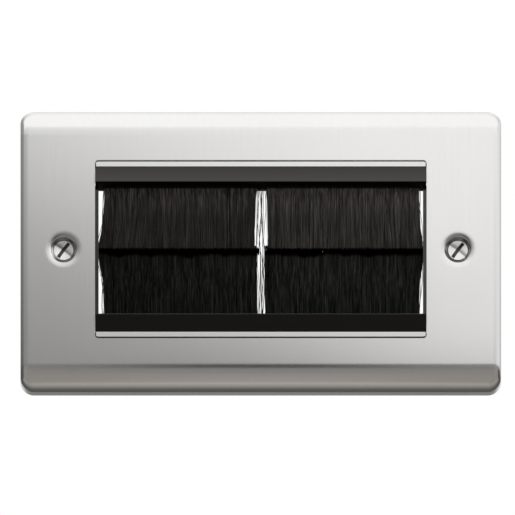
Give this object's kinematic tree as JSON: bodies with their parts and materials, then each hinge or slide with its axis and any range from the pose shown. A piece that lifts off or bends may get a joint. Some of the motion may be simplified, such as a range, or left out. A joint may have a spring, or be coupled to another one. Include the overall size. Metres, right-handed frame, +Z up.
{
  "type": "brush wall plate",
  "caption": "Double-width wall plate of brushed steel whose wide window is closed by opposed strip brushes that let cables pass.",
  "frame": {"origin": "on the wall plane, midway between the two fixing screws", "axes": "+X to the right along the plate's length, +Y into the wall, +Z up the wall; the face looks along -Y"},
  "size_m": [0.147, 0.0289, 0.0874],
  "materials": {
    "brushed_stainless": "fine satin, brushed up and down its height",
    "bright_plated_steel": "bright plated",
    "nickel_plate": "nickel plated, turned",
    "black_moulding": "black moulded, low sheen",
    "black_bristle": "black filament",
    "galvanised_strip": "galvanised",
    "drawn_wire": "drawn",
    "natural_nylon": "moulded",
    "brass": "machined"
  },
  "bodies": {
    "root": {"front_plate": "brushed_stainless", "yoke_frame": "bright_plated_steel", "top_rail": "black_moulding", "bottom_rail": "black_moulding", "upper_left_channel": "galvanised_strip", "upper_right_channel": "galvanised_strip", "lower_left_channel": "galvanised_strip", "lower_right_channel": "galvanised_strip", "upper_left_core_wire": "drawn_wire", "upper_right_core_wire": "drawn_wire", "lower_left_core_wire": "drawn_wire", "lower_right_core_wire": "drawn_wire", "upper_left_bristles": "black_bristle", "upper_right_bristles": "black_bristle", "lower_left_bristles": "black_bristle", "lower_right_bristles": "black_bristle", "fixing_screw_left": "nickel_plate", "fixing_screw_right": "nickel_plate", "retaining_washer_left": "natural_nylon", "retaining_washer_right": "natural_nylon", "earth_terminal": "brass", "earth_screw": "brass"}
  },
  "joints": []
}
